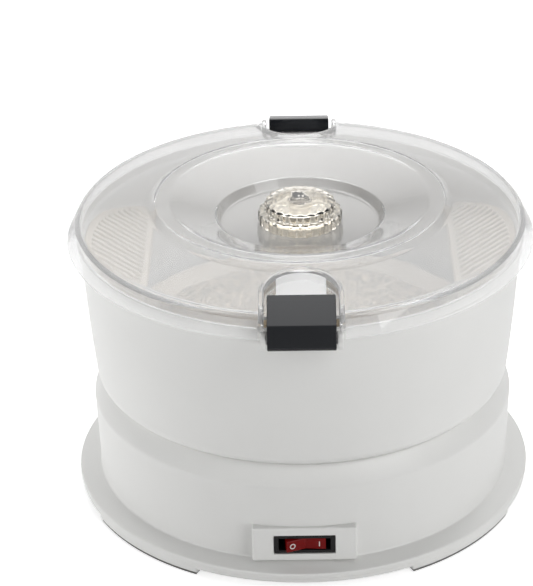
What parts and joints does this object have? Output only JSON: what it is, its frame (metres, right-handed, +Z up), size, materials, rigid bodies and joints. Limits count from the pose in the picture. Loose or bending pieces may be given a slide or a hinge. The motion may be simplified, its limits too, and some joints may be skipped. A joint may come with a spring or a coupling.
{
  "type": "electric potato peeler",
  "caption": "Round tabletop potato peeler: motor base with a rocker switch, lift-off bowl with rasp panels and a turning abrasive disc, and a clear domed lid held by latches.",
  "frame": {"origin": "on the table, on the turning axis of the disc, in the middle between the feet", "axes": "+Z up along the turning axis; -Y towards the switch and the front latch; +X to the right seen from the front"},
  "size_m": [0.261, 0.2692, 0.174],
  "materials": {
    "white_plastic": "moulded, light warm white, soft gloss",
    "inner_white_plastic": "moulded, satin white",
    "clear_lid_plastic": "clear moulded plastic, polished, slightly hazy",
    "dark_grey_plastic": "dark grey glossy plastic",
    "black_plastic": "black, fine satin",
    "red_rocker_plastic": "red gloss",
    "grey_rubber": "matt dark grey rubber",
    "turned_steel": "turned and polished",
    "sintered_bronze": "oil-filled sintered bronze, matt",
    "zinc_plated_sheet": "zinc plated, dull",
    "abrasive_grit": "bonded abrasive grit, rough"
  },
  "bodies": {
    "base": {"base_housing": "white_plastic", "bottom_cover": "white_plastic", "foot_pad_front_left": "grey_rubber", "foot_pad_front_right": "grey_rubber", "foot_pad_rear_left": "grey_rubber", "foot_pad_rear_right": "grey_rubber", "cover_screw_1": "zinc_plated_sheet", "cover_screw_2": "zinc_plated_sheet", "cover_screw_3": "zinc_plated_sheet", "cover_screw_4": "zinc_plated_sheet", "cord_gland": "black_plastic", "switch_bezel": "black_plastic", "upper_bush": "sintered_bronze", "lower_bush": "sintered_bronze", "drive_belt": "grey_rubber", "motor_can": "zinc_plated_sheet", "motor_bracket": "zinc_plated_sheet", "bracket_screw_1": "zinc_plated_sheet", "bracket_screw_2": "zinc_plated_sheet", "terminal_block": "white_plastic"},
    "rocker": {"rocker_button": "red_rocker_plastic"},
    "spindle": {"drive_spindle": "turned_steel", "driven_pulley": "black_plastic", "base_coupling": "black_plastic"},
    "motor_rotor": {"motor_shaft": "turned_steel", "motor_pulley": "turned_steel"},
    "bowl": {"bowl": "white_plastic", "left_rasp_panel": "inner_white_plastic", "right_rasp_panel": "inner_white_plastic", "bowl_bush": "sintered_bronze", "shaft_seal": "grey_rubber", "front_latch_pin": "turned_steel", "rear_latch_pin": "turned_steel"},
    "disc": {"peeling_disc": "inner_white_plastic", "abrasive_pad_1": "abrasive_grit", "abrasive_pad_2": "abrasive_grit", "abrasive_pad_3": "abrasive_grit", "disc_shaft": "turned_steel", "bowl_coupling": "black_plastic"},
    "lid": {"lid": "clear_lid_plastic"},
    "knob": {"lid_knob": "clear_lid_plastic", "knob_washer": "grey_rubber", "knob_nut": "clear_lid_plastic"},
    "front_latch": {"front_latch": "dark_grey_plastic"},
    "rear_latch": {"rear_latch": "dark_grey_plastic"}
  },
  "joints": [
    {"name": "bowl_lift", "type": "slide", "parent": "base", "child": "bowl", "axis": [0, 0, 1], "range_m": [0, 0.06]},
    {"name": "lid_lift", "type": "slide", "parent": "bowl", "child": "lid", "axis": [0, 0, 1], "range_m": [0, 0.038]},
    {"name": "front_latch_swing", "type": "hinge", "parent": "bowl", "child": "front_latch", "pos_m": [0, -0.1298, 0.153], "axis": [1, 0, 0], "range_deg": [0, 152]},
    {"name": "rear_latch_swing", "type": "hinge", "parent": "bowl", "child": "rear_latch", "pos_m": [0, 0.1298, 0.153], "axis": [-1, 0, 0], "range_deg": [0, 152]},
    {"name": "disc_spin", "type": "hinge", "parent": "bowl", "child": "disc", "pos_m": [0, 0, 0.079], "axis": [0, 0, 1], "continuous": true},
    {"name": "spindle_spin", "type": "hinge", "parent": "base", "child": "spindle", "pos_m": [0, 0, 0.0098], "axis": [0, 0, 1], "continuous": true},
    {"name": "motor_spin", "type": "hinge", "parent": "base", "child": "motor_rotor", "pos_m": [0.064, 0, 0.0098], "axis": [0, 0, 1], "continuous": true},
    {"name": "rocker_switch", "type": "hinge", "parent": "base", "child": "rocker", "pos_m": [0, -0.11635, 0.0228], "axis": [0, 0, -1], "range_deg": [0, 18]},
    {"name": "knob_turn", "type": "hinge", "parent": "lid", "child": "knob", "pos_m": [0, 0, 0.1588], "axis": [0, 0, 1], "range_deg": [0, 90]}
  ],
  "couplings": [
    {"joint": "front_latch_swing", "follows": "lid_lift", "rad_per_m": 68.9},
    {"joint": "rear_latch_swing", "follows": "lid_lift", "rad_per_m": 68.9},
    {"joint": "spindle_spin", "follows": "disc_spin", "ratio": 1},
    {"joint": "motor_spin", "follows": "disc_spin", "ratio": 5}
  ]
}
